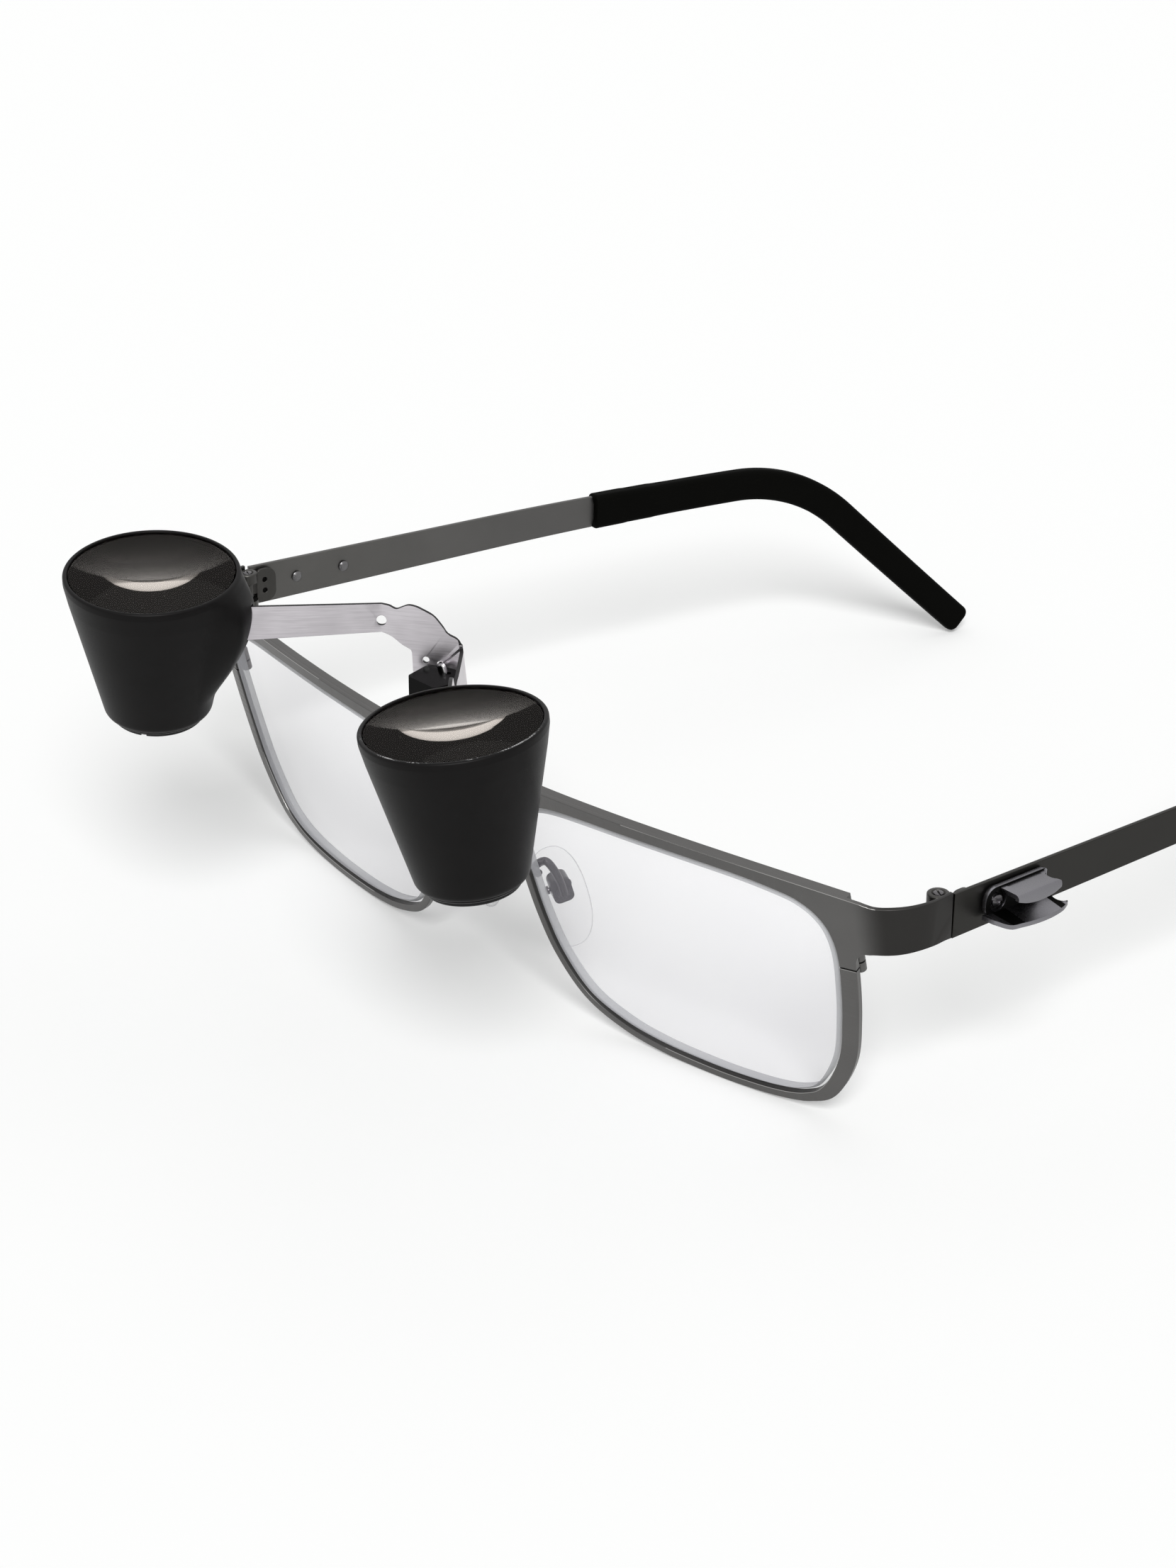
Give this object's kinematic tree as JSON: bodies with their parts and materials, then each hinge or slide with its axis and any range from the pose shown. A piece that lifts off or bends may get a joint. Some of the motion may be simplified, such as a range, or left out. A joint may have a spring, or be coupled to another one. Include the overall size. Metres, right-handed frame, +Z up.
{
  "type": "flip-up glasses",
  "caption": "Spectacle frame with folding temples, clear lenses and tapered black magnifier barrels that flip up and down before them on a sprung steel bracket.",
  "frame": {"origin": "on the table under the middle of the bridge", "axes": "+Z up, the wearer looks along -Y and the temples run back along +Y, +X is the wearer's left"},
  "size_m": [0.1451, 0.1852, 0.0627],
  "materials": {
    "gunmetal": "satin",
    "temple_metal": "satin",
    "steel": "satin",
    "clip_steel": "satin",
    "black_housing": "satin",
    "black_plastic": "satin",
    "black_silicone": "matte",
    "clear_silicone": "gloss",
    "lens": "polished",
    "magnifier_lens": "polished"
  },
  "bodies": {
    "front": {"front_frame": "gunmetal", "closing_block_left": "gunmetal", "closing_block_right": "gunmetal", "closing_screw_left": "steel", "closing_screw_right": "steel", "hinge_front_left": "gunmetal", "hinge_front_right": "gunmetal", "hinge_screw_left": "steel", "hinge_screw_right": "steel", "lens_left": "lens", "lens_right": "lens", "mount_base": "steel", "mount_screw_left": "steel", "mount_screw_right": "steel", "pivot_pin": "steel", "pad_arm_left": "gunmetal", "pad_arm_right": "gunmetal", "pad_box_left": "gunmetal", "pad_box_right": "gunmetal", "pad_screw_left": "steel", "pad_screw_right": "steel"},
    "temple_left": {"temple_left": "temple_metal", "sleeve_left": "black_silicone", "hinge_temple_left": "temple_metal", "clip_left": "clip_steel", "clip_screw_left_front": "steel", "clip_screw_left_rear": "steel"},
    "temple_right": {"temple_right": "temple_metal", "sleeve_right": "black_silicone", "hinge_temple_right": "temple_metal", "rivet_right_front": "steel", "rivet_right_rear": "steel"},
    "loupes": {"pivot_block": "black_plastic", "bracket": "steel", "bracket_screw_left": "steel", "bracket_screw_right": "steel", "spring_wire": "steel", "loupe_housing_left": "black_housing", "loupe_housing_right": "black_housing", "objective_left": "magnifier_lens", "objective_right": "magnifier_lens", "eyepiece_lens_left": "magnifier_lens", "eyepiece_lens_right": "magnifier_lens", "eyepiece_ring_left": "black_plastic", "eyepiece_ring_right": "black_plastic", "arm_screw_left": "steel", "arm_screw_right": "steel"},
    "nose_pad_left": {"pad_left": "clear_silicone"},
    "nose_pad_right": {"pad_right": "clear_silicone"}
  },
  "joints": [
    {"name": "temple_left_fold", "type": "hinge", "parent": "front", "child": "temple_left", "pos_m": [0.0681, 0.01551, 0.0336], "axis": [0, 0, 1], "range_deg": [0, 86]},
    {"name": "temple_right_fold", "type": "hinge", "parent": "front", "child": "temple_right", "pos_m": [-0.0681, 0.01551, 0.0336], "axis": [0, 0, -1], "range_deg": [-12, 62]},
    {"name": "loupe_flip", "type": "hinge", "parent": "front", "child": "loupes", "pos_m": [0, -0.0078, 0.0405], "axis": [1, 0, 0], "range_deg": [0, 90]},
    {"name": "nose_pad_left_rock", "type": "hinge", "parent": "front", "child": "nose_pad_left", "pos_m": [0.00858, 0.00739, 0.01712], "axis": [-0.4531, -0.8498, -0.2695], "range_deg": [-8, 8]},
    {"name": "nose_pad_right_rock", "type": "hinge", "parent": "front", "child": "nose_pad_right", "pos_m": [-0.00858, 0.00739, 0.01712], "axis": [0.4531, -0.8498, -0.2695], "range_deg": [-8, 8]}
  ]
}
